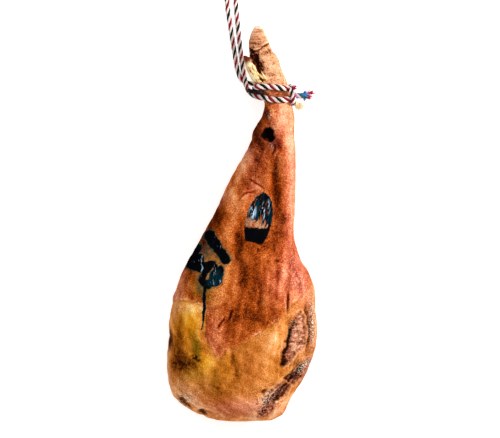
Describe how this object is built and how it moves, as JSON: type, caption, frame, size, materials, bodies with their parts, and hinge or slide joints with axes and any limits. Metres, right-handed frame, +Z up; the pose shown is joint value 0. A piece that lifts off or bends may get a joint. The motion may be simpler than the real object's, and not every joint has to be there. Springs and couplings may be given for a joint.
{
  "type": "cured ham",
  "caption": "Whole dry-cured bone-in ham with its trotter, lying on its inner side, tied at the shank with a twisted rope whose free loop lies past the toes.",
  "frame": {"origin": "middle of the flat patch on the ham's inner side that it lies on, under its thickest part", "axes": "+Y along the leg from the hip end to the toes, +Z up out of the shown outer side, +X towards the shin side"},
  "size_m": [0.2704, 0.8387, 0.1283],
  "materials": {
    "ham": "dried, slightly greasy skin and fat, amber to reddish brown",
    "rope": "twisted cotton strands in white, red and green"
  },
  "bodies": {
    "root": {"ham": "ham", "rope_turns": "rope", "rope_loop": "rope"}
  },
  "joints": []
}
